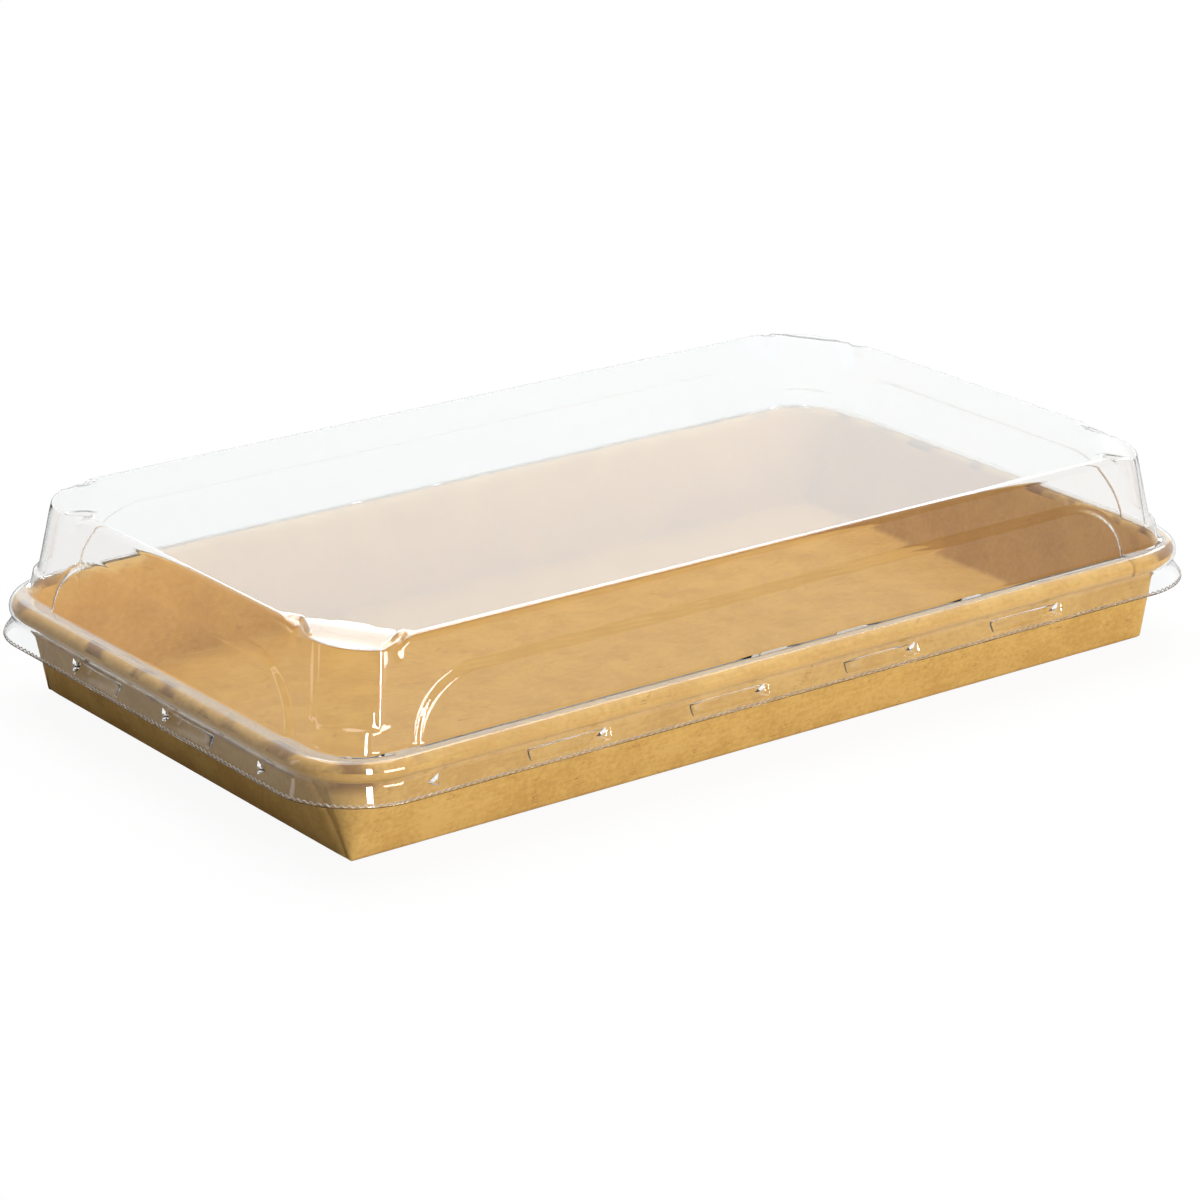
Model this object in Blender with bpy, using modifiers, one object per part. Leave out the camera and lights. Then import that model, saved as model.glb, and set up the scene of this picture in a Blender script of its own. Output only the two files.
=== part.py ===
"""Kraft board sushi tray with its clear press-on lid.

Units are metres, +Z is up and the tray stands on Z = 0, centred on the origin.
The long sides run along X. Run it with: blender --background --python part.py
"""

from math import cos, hypot, pi, radians, sin, tan

import bmesh
import bpy

MM = 0.001

# Tray: one sheet of board, folded up from a sharp-cornered floor and curled over at the rim.
FLOOR_LENGTH = 232.0 * MM
FLOOR_WIDTH = 128.6 * MM
BOARD = 0.45 * MM
CURL_CENTRE_HALF_LENGTH = 124.5 * MM
CURL_CENTRE_HALF_WIDTH = 72.45 * MM
CURL_CENTRE_HEIGHT = 23.05 * MM
CURL_RADIUS = 2.2 * MM
CURL_CORNER_RADIUS = 16.6 * MM
CURL_START = radians(163.8)
CURL_END = radians(-140.0)
CURL_STEPS = 11

# Lid: one clear sheet. Its bead follows the curl with a small gap all round.
SHEET = 0.4 * MM
GAP = 0.3 * MM
BEAD_RADIUS = CURL_RADIUS + GAP + SHEET
BEAD_END = radians(-25.0)
BEAD_STEPS = 5
LEDGE_HEIGHT = CURL_CENTRE_HEIGHT + BEAD_RADIUS
LID_TOP = 49.6 * MM
EDGE_ROUNDING = 1.8 * MM
WALL_TOP_HALF_LENGTH = 117.4 * MM
WALL_TOP_HALF_WIDTH = 67.35 * MM
WALL_TOP = LID_TOP - EDGE_ROUNDING
WALL_FOOT_HALF_LENGTH = 121.5 * MM
WALL_FOOT_HALF_WIDTH = 70.4 * MM

# Cut corners: an upright column with a slightly bulging face, standing on a half-moon step.
# Each leg is how far the cut takes from a side; below the step the same legs are rounded.
COLUMN_LEG_X = 9.8 * MM
COLUMN_LEG_Y = 14.0 * MM
COLUMN_BULGE = 1.6 * MM
STEP_HEIGHT = 31.3 * MM
STEP_EDGE = 0.4 * MM

# A raised arch on each wall stiffens it and locates the next lid in a stack.
ARCH_TOP = 40.1 * MM
ARCH_RISE = 1.0 * MM
ARCH_STEP = 2.4 * MM
ARCH_CORNER = 17.0 * MM
ARCH_HALF_LENGTH = 102.4 * MM
ARCH_HALF_WIDTH = 50.0 * MM

# The skirt flares out below the bead. Dents in it snap in under the curl.
NECK_OFFSET = 2.2 * MM
NECK_HEIGHT = 20.6 * MM
SKIRT_OFFSET = 4.5 * MM
SKIRT_BOTTOM = 16.6 * MM
DENT_DEPTH = 1.3 * MM
DENT_TOP = 19.9 * MM
DENT_BOTTOM = 18.0 * MM
DENT_RAMP = 0.8 * MM
LONG_DENT_LENGTH = 22.2 * MM
LONG_DENT_PITCH = 44.5 * MM
LONG_DENT_FIRST = -76.8 * MM
LONG_DENTS = 4
SHORT_DENT_LENGTH = 18.2 * MM
SHORT_DENT_PITCH = 39.0 * MM
SHORT_DENT_FIRST = -30.0 * MM
SHORT_DENTS = 2

CORNER_STEPS = 8
KRAFT_COLOUR = (0.56, 0.33, 0.13, 1.0)
CLEAR_COLOUR = (0.93, 0.95, 0.96, 1.0)


def clear_scene():
    """Remove everything that the scene starts with."""
    for thing in list(bpy.data.objects):
        bpy.data.objects.remove(thing, do_unlink=True)


def plain_material(name, colour, roughness, alpha=1.0):
    """Make a Principled material of one colour."""
    material = bpy.data.materials.new(name)
    material.use_nodes = True
    shader = material.node_tree.nodes["Principled BSDF"]
    shader.inputs["Base Color"].default_value = colour
    shader.inputs["Roughness"].default_value = roughness
    shader.inputs["Metallic"].default_value = 0.0
    shader.inputs["Alpha"].default_value = alpha
    material.diffuse_color = (colour[0], colour[1], colour[2], alpha)
    return material


def finish_sheet(name, mesh_data, thickness, material, collection):
    """Turn an open surface into an object and give it its thickness behind its faces."""
    mesh = bpy.data.meshes.new(name)
    mesh_data.to_mesh(mesh)
    mesh_data.free()
    sheet = bpy.data.objects.new(name, mesh)
    collection.objects.link(sheet)
    mesh.materials.append(material)
    mesh.shade_smooth()
    mesh.set_sharp_from_angle(angle=radians(30.0))
    solid = sheet.modifiers.new("thickness", "SOLIDIFY")
    solid.use_even_offset = True
    solid.thickness = thickness
    solid.offset = -1.0
    return sheet


def corner_arc(half_length, half_width, leg_x, leg_y, turns):
    """Points of one rounded corner, counter-clockwise; turns picks the quarter."""
    signs = ((1, -1), (1, 1), (-1, 1), (-1, -1))[turns]
    centre = (signs[0] * (half_length - leg_x), signs[1] * (half_width - leg_y))
    start = radians(90.0 * turns - 90.0)
    angles = [start + pi / 2 * step / CORNER_STEPS for step in range(CORNER_STEPS + 1)]
    return [(centre[0] + leg_x * cos(a), centre[1] + leg_y * sin(a)) for a in angles]


def rim_corner(offset, turns):
    """Points of one corner at an offset from the curl's centre line."""
    half_length = CURL_CENTRE_HALF_LENGTH + offset
    half_width = CURL_CENTRE_HALF_WIDTH + offset
    radius = CURL_CORNER_RADIUS + offset
    return corner_arc(half_length, half_width, radius, radius, turns)


def bridge(mesh_data, upper, lower):
    """Join two closed rings of the same length with quads that face outwards."""
    count = len(upper)
    for index in range(count):
        follow = (index + 1) % count
        mesh_data.faces.new((upper[index], lower[index], lower[follow], upper[follow]))


# ---------------------------------------------------------------- tray


def curl_ring(mesh_data, angle):
    """One ring of the rim's curl, at an angle round the curl's own section."""
    offset = CURL_RADIUS * cos(angle)
    height = CURL_CENTRE_HEIGHT + CURL_RADIUS * sin(angle)
    ring = []
    for turns in range(4):
        arc = rim_corner(offset, turns)
        ring.append([mesh_data.verts.new((x, y, height)) for x, y in arc])
    return ring


def build_tray(material, collection):
    """The board's food side as an open surface; its thickness goes outwards and below.

    The floor is a sharp rectangle and the rim a rounded one. Between them each wall is flat,
    and each corner is a fan that runs from the floor's corner to the rim's arc.
    """
    mesh_data = bmesh.new()
    flare = radians(180.0) - CURL_START
    set_in = BOARD * tan((pi / 2 - flare) / 2)
    floor_x = FLOOR_LENGTH / 2 - set_in
    floor_y = FLOOR_WIDTH / 2 - set_in
    corners = ((floor_x, -floor_y), (floor_x, floor_y), (-floor_x, floor_y), (-floor_x, -floor_y))
    floor = [mesh_data.verts.new((x, y, BOARD)) for x, y in corners]
    mesh_data.faces.new(floor)

    turn = (CURL_END - CURL_START) / CURL_STEPS
    rings = [curl_ring(mesh_data, CURL_START + turn * step) for step in range(CURL_STEPS + 1)]
    rim = rings[0]
    for turns in range(4):
        arc = rim[turns]
        for step in range(CORNER_STEPS):
            mesh_data.faces.new((floor[turns], arc[step], arc[step + 1]))
        follow = (turns + 1) % 4
        mesh_data.faces.new((floor[follow], floor[turns], arc[-1], rim[follow][0]))
    loops = [[vert for arc in ring for vert in arc] for ring in rings]
    for inner, outer in zip(loops, loops[1:]):
        bridge(mesh_data, inner, outer)
    return finish_sheet("tray", mesh_data, BOARD, material, collection)


# ---------------------------------------------------------------- lid


def wall_halves(height):
    """Half length and half width of the drafted wall at a height."""
    share = (WALL_TOP - height) / (WALL_TOP - LEDGE_HEIGHT)
    half_length = WALL_TOP_HALF_LENGTH + share * (WALL_FOOT_HALF_LENGTH - WALL_TOP_HALF_LENGTH)
    half_width = WALL_TOP_HALF_WIDTH + share * (WALL_FOOT_HALF_WIDTH - WALL_TOP_HALF_WIDTH)
    return half_length, half_width


def column_corner(half_length, half_width, turns, share=1.0):
    """Points of a cut corner with a slightly bulging face; share scales both of its legs."""
    leg_x = COLUMN_LEG_X * share
    leg_y = COLUMN_LEG_Y * share
    span = hypot(leg_x, leg_y)
    points = []
    for step in range(CORNER_STEPS + 1):
        along = step / CORNER_STEPS
        bulge = COLUMN_BULGE * 4.0 * along * (1.0 - along)
        x = half_length - leg_x * (1.0 - along) + bulge * leg_y / span
        y = leg_y * along - half_width - bulge * leg_x / span
        points.append((x, y))
    if turns in (1, 3):
        points = [(x, -y) for x, y in reversed(points)]
    if turns in (2, 3):
        points = [(-x, -y) for x, y in points]
    return points


def arch_cover(along, height, half_span):
    """How much of the arch's rise a point of the wall has, from 0 to 1."""
    lift = (height - LEDGE_HEIGHT) / (ARCH_TOP - LEDGE_HEIGHT)
    past = (abs(along) - (half_span - ARCH_CORNER)) / ARCH_CORNER
    distance = 1.0 - hypot(max(lift, 0.0), max(past, 0.0))
    ramp = ARCH_STEP / ARCH_CORNER
    return min(max(distance / ramp + 0.5, 0.0), 1.0)


def dent_spans(long_side):
    """Start and end of each snap dent along a side, in that side's own direction."""
    first, pitch, length, count = (
        (LONG_DENT_FIRST, LONG_DENT_PITCH, LONG_DENT_LENGTH, LONG_DENTS)
        if long_side
        else (SHORT_DENT_FIRST, SHORT_DENT_PITCH, SHORT_DENT_LENGTH, SHORT_DENTS)
    )
    return [(first + pitch * index, first + pitch * index + length) for index in range(count)]


def dent_cover(along, long_side):
    """How much of the dent's depth a point along a side has, from 0 to 1."""
    cover = 0.0
    for start, end in dent_spans(long_side):
        inside = min(along - start, end - along) / DENT_RAMP
        cover = max(cover, min(max(inside, 0.0), 1.0))
    return cover


def side_stations(long_side):
    """Where the rings have points along a side's straight stretch."""
    half_span = ARCH_HALF_LENGTH if long_side else ARCH_HALF_WIDTH
    arch = half_span - ARCH_CORNER
    stations = []
    for share in (0.0, 0.45, 0.8):
        stations += [arch + share * ARCH_CORNER, -arch - share * ARCH_CORNER]
    for start, end in dent_spans(long_side):
        stations += [start, start + DENT_RAMP, end - DENT_RAMP, end]
    return sorted(stations)


def lid_ring(mesh_data, half_length, half_width, height, corner, rise=None, dent=0.0):
    """One closed ring of the lid, counter-clockwise from the -Y side.

    corner gives the points of a quarter, rise adds the wall's arch and dent the skirt's dents.
    The opposite sides repeat each other turned by half a turn.
    """
    points = []
    for turns in range(4):
        long_side = turns % 2 == 0
        span = ARCH_HALF_LENGTH if long_side else ARCH_HALF_WIDTH
        for along in side_stations(long_side):
            out = half_width if long_side else half_length
            if rise is not None:
                out += rise * arch_cover(along, height, span)
            out -= dent * dent_cover(along, long_side)
            spot = (along, -out) if long_side else (out, along)
            points.append(spot if turns < 2 else (-spot[0], -spot[1]))
        points += corner(turns)
    return [mesh_data.verts.new((x, y, height)) for x, y in points]


def wall_ring(mesh_data, height, on_column, rise=ARCH_RISE):
    """A ring of the drafted wall, with cut or with rounded corners."""
    half_length, half_width = wall_halves(height)

    def corner(turns):
        if on_column:
            return column_corner(half_length, half_width, turns)
        return corner_arc(half_length, half_width, COLUMN_LEG_X, COLUMN_LEG_Y, turns)

    return lid_ring(mesh_data, half_length, half_width, height, corner, rise)


def top_ring(mesh_data, angle):
    """A ring of the rounded edge between the walls and the flat top."""
    inset = EDGE_ROUNDING * (1.0 - cos(angle))
    height = WALL_TOP + EDGE_ROUNDING * sin(angle)
    half_length = WALL_TOP_HALF_LENGTH - inset
    half_width = WALL_TOP_HALF_WIDTH - inset
    both = COLUMN_LEG_X + COLUMN_LEG_Y
    shrink = (both - hypot(COLUMN_LEG_X, COLUMN_LEG_Y)) / (COLUMN_LEG_X * COLUMN_LEG_Y)

    def corner(turns):
        return column_corner(half_length, half_width, turns, 1.0 - inset * shrink)

    return lid_ring(mesh_data, half_length, half_width, height, corner)


def rim_ring(mesh_data, offset, height, dent=0.0):
    """A ring of the ledge, bead or skirt, set off from the curl's centre line."""
    half_length = CURL_CENTRE_HALF_LENGTH + offset
    half_width = CURL_CENTRE_HALF_WIDTH + offset

    def corner(turns):
        return rim_corner(offset, turns)

    return lid_ring(mesh_data, half_length, half_width, height, corner, None, dent)


def skirt_offset(height):
    """How far the flaring skirt stands off the curl's centre line at a height."""
    share = (NECK_HEIGHT - height) / (NECK_HEIGHT - SKIRT_BOTTOM)
    return NECK_OFFSET + share * (SKIRT_OFFSET - NECK_OFFSET)


def build_lid(material, collection):
    """The lid's outer surface from its top down to the skirt's edge."""
    mesh_data = bmesh.new()
    rings = [top_ring(mesh_data, radians(angle)) for angle in (90.0, 45.0)]
    for height in (WALL_TOP, ARCH_TOP + ARCH_STEP / 2, ARCH_TOP - ARCH_STEP / 2, STEP_HEIGHT):
        rings.append(wall_ring(mesh_data, height, on_column=True))
    for height in (STEP_HEIGHT - STEP_EDGE, LEDGE_HEIGHT):
        rings.append(wall_ring(mesh_data, height, on_column=False))
    for step in range(BEAD_STEPS + 1):
        angle = pi / 2 + (BEAD_END - pi / 2) * step / BEAD_STEPS
        height = CURL_CENTRE_HEIGHT + BEAD_RADIUS * sin(angle)
        rings.append(rim_ring(mesh_data, BEAD_RADIUS * cos(angle), height))
    rings.append(rim_ring(mesh_data, NECK_OFFSET, NECK_HEIGHT))
    for height in (DENT_TOP, DENT_BOTTOM):
        rings.append(rim_ring(mesh_data, skirt_offset(height), height, DENT_DEPTH))
    for height in (DENT_BOTTOM - DENT_RAMP, SKIRT_BOTTOM):
        rings.append(rim_ring(mesh_data, skirt_offset(height), height))
    mesh_data.faces.new(rings[0])
    for upper, lower in zip(rings, rings[1:]):
        bridge(mesh_data, upper, lower)
    return finish_sheet("lid", mesh_data, SHEET, material, collection)


def settle(sheets):
    """Lower the sheets together until the lowest of their points is at Z = 0."""
    graph = bpy.context.evaluated_depsgraph_get()
    lowest = min(vert.co.z for sheet in sheets for vert in sheet.evaluated_get(graph).data.vertices)
    for sheet in sheets:
        sheet.location.z -= lowest


def main():
    """Build the tray and the lid that rests on it."""
    clear_scene()
    collection = bpy.data.collections.new("sushi_tray")
    bpy.context.scene.collection.children.link(collection)
    kraft = plain_material("kraft_board", KRAFT_COLOUR, 0.7)
    clear = plain_material("clear_sheet", CLEAR_COLOUR, 0.08, alpha=0.25)
    tray = build_tray(kraft, collection)
    lid = build_lid(clear, collection)
    settle((tray, lid))


main()
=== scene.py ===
"""Kraft board takeaway tray with a clear press-on lid, dressed for display.

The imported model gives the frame: one node for the tray and one for the lid. Each is replaced
here by a finer sheet of the same size. The board is folded and rolled over at its rim. The lid
is one drawn clear sheet with columns at its corners, arches in its walls and dents in its skirt.
Sizes are in metres, and the long sides run along X.
"""

import logging
from collections.abc import Callable, Sequence
from dataclasses import dataclass, field
from enum import Enum
from math import cos, hypot, pi, radians, sin

import bmesh
import bpy
from mathutils import Matrix, Vector


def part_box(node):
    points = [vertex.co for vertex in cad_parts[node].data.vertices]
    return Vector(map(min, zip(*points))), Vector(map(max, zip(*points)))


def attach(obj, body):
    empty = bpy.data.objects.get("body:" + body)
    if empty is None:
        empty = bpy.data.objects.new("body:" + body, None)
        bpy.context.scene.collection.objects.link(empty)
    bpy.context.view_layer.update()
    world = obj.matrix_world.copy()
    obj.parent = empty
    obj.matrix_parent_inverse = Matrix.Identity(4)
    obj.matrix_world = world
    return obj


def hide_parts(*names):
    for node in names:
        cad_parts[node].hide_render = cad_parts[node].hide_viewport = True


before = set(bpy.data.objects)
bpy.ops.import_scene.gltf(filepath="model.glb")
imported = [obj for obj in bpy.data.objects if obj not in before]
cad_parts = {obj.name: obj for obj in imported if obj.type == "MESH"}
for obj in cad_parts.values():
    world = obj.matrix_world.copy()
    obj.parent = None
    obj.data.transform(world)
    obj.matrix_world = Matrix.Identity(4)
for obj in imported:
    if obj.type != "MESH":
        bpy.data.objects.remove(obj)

MM = 0.001
WELD = 0.002 * MM
LOG = logging.getLogger("sushi_tray")

Colour = tuple[float, float, float, float]
Point = tuple[float, float, float]
Plan = tuple[float, float]


class Side(Enum):
    """The four sides of a ring, counter-clockwise, with the sign of their way out."""

    FRONT = 0
    RIGHT = 1
    BACK = 2
    LEFT = 3

    @property
    def is_long(self) -> bool:
        """Whether the side runs along X."""
        return self.value % 2 == 0

    @property
    def sign(self) -> float:
        """Minus one on the two sides that repeat the others turned by half a turn."""
        return 1.0 if self.value < 2 else -1.0

    def place(self, run: float, out: float) -> Plan:
        """Plan position of a spot at a run along the side and a distance out of the centre."""
        spot = (run, -out) if self.is_long else (out, run)
        return self.sign * spot[0], self.sign * spot[1]

    def outward(self) -> Point:
        """The direction that the side faces."""
        x, y = self.place(0.0, 1.0)
        return x, y, 0.0


def smooth(value: float) -> float:
    """Ease a share from 0 to 1, held at both ends."""
    share = min(max(value, 0.0), 1.0)
    return share * share * (3.0 - 2.0 * share)


def spread(first: float, last: float, step: float) -> list[float]:
    """Evenly spaced numbers from first to last.

    Args:
        first: The first number.
        last: The last number.
        step: The largest gap between two of them.

    Returns:
        The numbers, with both ends.
    """
    count = max(1, round(abs(last - first) / step))
    return [first + (last - first) * index / count for index in range(count + 1)]


# ---------------------------------------------------------------- node trees


class Tree:
    """A node tree under construction, with short ways to add and join nodes."""

    COLOUR_INPUTS = (0, 6, 7)
    COLOUR_OUTPUT = 2

    def __init__(self, nodes: bpy.types.NodeTree) -> None:
        """Keep the tree that nodes are added to."""
        self.tree = nodes

    def add(self, kind: str, **settings: object) -> bpy.types.Node:
        """Add a node and set its properties.

        Args:
            kind: The node's type name.
            settings: Values for properties of the node.

        Returns:
            The new node.
        """
        node = self.tree.nodes.new(kind)
        for name, value in settings.items():
            setattr(node, name, value)
        return node

    def feed(self, socket: bpy.types.NodeSocket, value: object) -> None:
        """Join a socket to another socket, or set it to a plain value.

        Args:
            socket: The input to fill.
            value: A socket or a plain value.
        """
        if isinstance(value, bpy.types.NodeSocket):
            self.tree.links.new(value, socket)
        else:
            socket.default_value = value

    def math(self, operation: str, *values: object) -> bpy.types.NodeSocket:
        """Add a Math node.

        Args:
            operation: The node's operation.
            values: Sockets or numbers, in the order of the node's inputs.

        Returns:
            The result's socket.
        """
        node = self.add("ShaderNodeMath", operation=operation)
        for socket, value in zip(node.inputs, values):
            self.feed(socket, value)
        return node.outputs[0]

    def stretch(self, place: bpy.types.NodeSocket, factors: Point) -> bpy.types.NodeSocket:
        """Multiply a vector by one factor for each axis.

        Args:
            place: The vector's socket.
            factors: The three factors.

        Returns:
            The stretched vector's socket.
        """
        node = self.add("ShaderNodeVectorMath", operation="MULTIPLY")
        self.feed(node.inputs[0], place)
        self.feed(node.inputs[1], factors)
        return node.outputs[0]

    def axes(self, vector: bpy.types.NodeSocket) -> Sequence[bpy.types.NodeSocket]:
        """Split a vector into its three numbers.

        Args:
            vector: The vector's socket.

        Returns:
            The sockets of X, Y and Z.
        """
        node = self.add("ShaderNodeSeparateXYZ")
        self.feed(node.inputs[0], vector)
        return node.outputs

    def noise(self, place: bpy.types.NodeSocket, scale: float, detail: float) -> bpy.types.NodeSocket:
        """Add a noise texture.

        Args:
            place: The coordinates that it is read at.
            scale: Its scale per metre.
            detail: How many finer layers it has.

        Returns:
            The socket of its value.
        """
        node = self.add("ShaderNodeTexNoise")
        self.feed(node.inputs["Vector"], place)
        node.inputs["Scale"].default_value = scale
        node.inputs["Detail"].default_value = detail
        return node.outputs[0]

    def ramp(
        self, value: bpy.types.NodeSocket, low: float, high: float, first: object = 0.0, last: object = 1.0
    ) -> bpy.types.NodeSocket:
        """Map a value from one range to another, clamped.

        Args:
            value: The socket to map.
            low: The value that becomes first.
            high: The value that becomes last.
            first: The result at low, a number or a socket.
            last: The result at high, a number or a socket.

        Returns:
            The mapped value's socket.
        """
        node = self.add("ShaderNodeMapRange", interpolation_type="SMOOTHSTEP")
        for socket, number in zip(node.inputs, (value, low, high, first, last)):
            self.feed(socket, number)
        return node.outputs[0]

    def blend(self, share: object, first: object, second: object) -> bpy.types.NodeSocket:
        """Mix two colours.

        Args:
            share: How much of the second one there is.
            first: The first colour, or its socket.
            second: The second colour, or its socket.

        Returns:
            The mixed colour's socket.
        """
        node = self.add("ShaderNodeMix", data_type="RGBA")
        for index, value in zip(self.COLOUR_INPUTS, (share, first, second)):
            self.feed(node.inputs[index], value)
        return node.outputs[self.COLOUR_OUTPUT]

    def bumped(self, height: bpy.types.NodeSocket, strength: float, distance: float) -> bpy.types.NodeSocket:
        """Turn a height into a bumped normal.

        Args:
            height: The height's socket.
            strength: How strong the bumps are, from 0 to 1.
            distance: How far the surface stands out at a height of 1.

        Returns:
            The normal's socket.
        """
        node = self.add("ShaderNodeBump")
        node.inputs["Strength"].default_value = strength
        node.inputs["Distance"].default_value = distance
        self.feed(node.inputs["Height"], height)
        return node.outputs["Normal"]


class GeometryTree(Tree):
    """A Geometry Nodes tree with named inputs."""

    def __init__(self, name: str) -> None:
        """Start a tree that takes and gives one geometry.

        Args:
            name: The tree's name.
        """
        super().__init__(bpy.data.node_groups.new(name, "GeometryNodeTree"))
        self.values: dict[str, object] = {}
        faces = self.tree.interface
        faces.new_socket("Geometry", in_out="INPUT", socket_type="NodeSocketGeometry")
        faces.new_socket("Geometry", in_out="OUTPUT", socket_type="NodeSocketGeometry")
        self.start = self.add("NodeGroupInput")
        self.end = self.add("NodeGroupOutput")

    def size(self, name: str, value: object, kind: str = "NodeSocketFloat") -> bpy.types.NodeSocket:
        """Add a named input.

        Args:
            name: The input's name.
            value: What the modifier sets it to.
            kind: The socket's type.

        Returns:
            The input's socket inside the tree.
        """
        item = self.tree.interface.new_socket(name, in_out="INPUT", socket_type=kind)
        self.values[item.identifier] = value
        return next(socket for socket in self.start.outputs if socket.identifier == item.identifier)

    def attribute(self, name: str, kind: str) -> bpy.types.NodeSocket:
        """Read a named attribute of the geometry.

        Args:
            name: The attribute's name.
            kind: Its data type.

        Returns:
            The socket of its value.
        """
        node = self.add("GeometryNodeInputNamedAttribute", data_type=kind)
        node.inputs["Name"].default_value = name
        return node.outputs["Attribute"]

    def finish(self, geometry: bpy.types.NodeSocket, material: bpy.types.Material) -> None:
        """End the tree: realize instances and set the material.

        Args:
            geometry: What the tree has made.
            material: The material of all of it.
        """
        real = self.add("GeometryNodeRealizeInstances")
        self.feed(real.inputs["Geometry"], geometry)
        dress = self.add("GeometryNodeSetMaterial")
        self.feed(dress.inputs["Geometry"], real.outputs["Geometry"])
        self.feed(dress.inputs["Material"], self.size("Material", material, "NodeSocketMaterial"))
        self.feed(self.end.inputs[0], dress.outputs["Geometry"])

    def put_on(self, piece: bpy.types.Object) -> None:
        """Add the tree to an object as a modifier and set its inputs.

        Args:
            piece: The object.
        """
        modifier = piece.modifiers.new(self.tree.name, "NODES")
        modifier.node_group = self.tree
        for identifier, value in self.values.items():
            modifier[identifier] = value


def settled(piece: bpy.types.Object) -> bpy.types.Object:
    """Turn an object and its modifiers into a plain mesh.

    Args:
        piece: The object, which keeps its name.

    Returns:
        The same object with its final mesh and no modifiers.
    """
    graph = bpy.context.evaluated_depsgraph_get()
    final = bpy.data.meshes.new_from_object(piece.evaluated_get(graph), depsgraph=graph)
    piece.modifiers.clear()
    piece.data = final
    final.name = piece.name
    return piece


def add_piece(name: str, mesh: bpy.types.Mesh) -> bpy.types.Object:
    """Make an object for a mesh and link it to the scene.

    Args:
        name: The object's name.
        mesh: Its mesh.

    Returns:
        The new object.
    """
    piece = bpy.data.objects.new(name, mesh)
    bpy.context.scene.collection.objects.link(piece)
    return piece


# ---------------------------------------------------------------- finishes


@dataclass(frozen=True)
class KraftBoard:
    """Unbleached board: mottled brown, fibres along X, a few dark hairs, and on the short sides a rim
    darkened in patches, partly real scorch and partly painted shade under the roll.

    Noise scales are per metre. A stretch below 1 draws the noise out along that axis.
    """

    name: str
    pale: Colour
    deep: Colour
    speck_and_shade: Colour
    roughness: float
    gloss: float
    scorch_and_shade: float = 0.0
    cloud_scale: float = 90.0
    grain_scale: float = 900.0
    fibre_scale: float = 1500.0
    fibre_stretch: Point = (0.16, 1.0, 1.0)
    shares: tuple[float, float, float] = (0.45, 0.35, 0.2)
    hair_scale: float = 1100.0
    hair_stretch: Point = (0.22, 1.0, 1.6)
    hair_gap_scale: float = 240.0
    uneven_roughness: float = 0.06
    bump_strength: float = 0.35
    bump_distance: float = 0.06 * MM
    # Where the darkening of the short sides' rim starts and where it is full: partly scorch, partly painted
    # shade under the roll.
    scorch_and_shade_from: Plan = (98.0 * MM, 15.0 * MM)
    scorch_and_shade_full: Plan = (114.0 * MM, 19.5 * MM)

    def make(self) -> bpy.types.Material:
        """Build the material.

        Returns:
            The finished material.
        """
        material = bpy.data.materials.new(self.name)
        material.use_nodes = True
        material.diffuse_color = self.pale
        tree = Tree(material.node_tree)
        shader = material.node_tree.nodes["Principled BSDF"]
        place = tree.add("ShaderNodeTexCoord").outputs["Object"]
        cloud = tree.noise(place, self.cloud_scale, 4.0)
        grain = tree.noise(place, self.grain_scale, 3.0)
        fibre = tree.noise(tree.stretch(place, self.fibre_stretch), self.fibre_scale, 2.0)
        parts = [tree.math("MULTIPLY", *pair) for pair in zip((cloud, grain, fibre), self.shares)]
        mottle = tree.math("ADD", tree.math("ADD", parts[0], parts[1]), parts[2])
        colour = tree.blend(tree.ramp(mottle, 0.36, 0.64), self.deep, self.pale)
        colour = tree.blend(self.hairs(tree, place), colour, self.speck_and_shade)
        # Painted shade: the scorch darkens the short sides' roll and the wall top below it in patches,
        # partly real scorch and partly the shade under the roll.
        if self.scorch_and_shade:
            burnt_and_shaded = tree.math("MULTIPLY", tree.ramp(cloud, 0.46, 0.6), self.at_short_rim(tree, place))
            colour = tree.blend(tree.math("MULTIPLY", burnt_and_shaded, self.scorch_and_shade), colour, self.speck_and_shade)
        tree.feed(shader.inputs["Base Color"], colour)
        smoothest = self.roughness - self.uneven_roughness
        roughest = self.roughness + self.uneven_roughness
        tree.feed(shader.inputs["Roughness"], tree.ramp(grain, 0.3, 0.7, smoothest, roughest))
        shader.inputs["Specular IOR Level"].default_value = self.gloss
        height = tree.math("ADD", fibre, grain)
        tree.feed(shader.inputs["Normal"], tree.bumped(height, self.bump_strength, self.bump_distance))
        return material

    def hairs(self, tree: Tree, place: bpy.types.NodeSocket) -> bpy.types.NodeSocket:
        """Where the rare dark hairs lie: thin lines of one noise, kept only where another is high.

        Args:
            tree: The material's tree.
            place: The Object coordinates.

        Returns:
            A share that is 1 on a hair.
        """
        lines = tree.noise(tree.stretch(place, self.hair_stretch), self.hair_scale, 1.0)
        off_line = tree.math("ABSOLUTE", tree.math("SUBTRACT", lines, 0.5))
        kept = tree.ramp(tree.noise(place, self.hair_gap_scale, 0.0), 0.68, 0.74)
        return tree.math("MULTIPLY", tree.ramp(off_line, 0.02, 0.0), kept)

    def at_short_rim(self, tree: Tree, place: bpy.types.NodeSocket) -> bpy.types.NodeSocket:
        """How far a spot is into the rim of the short sides and the wall top just below it, where the hot
        roller scorches the board and where painted shade stands for the roll's shadow.

        Args:
            tree: The material's tree.
            place: The Object coordinates.

        Returns:
            A share from 0 on the walls to 1 on the rim of the short sides.
        """
        axes = tree.axes(place)
        outward = tree.math("ABSOLUTE", axes[0])
        at_end = tree.ramp(outward, self.scorch_and_shade_from[0], self.scorch_and_shade_full[0])
        return tree.math("MULTIPLY", at_end, tree.ramp(axes[2], self.scorch_and_shade_from[1], self.scorch_and_shade_full[1]))


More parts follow.
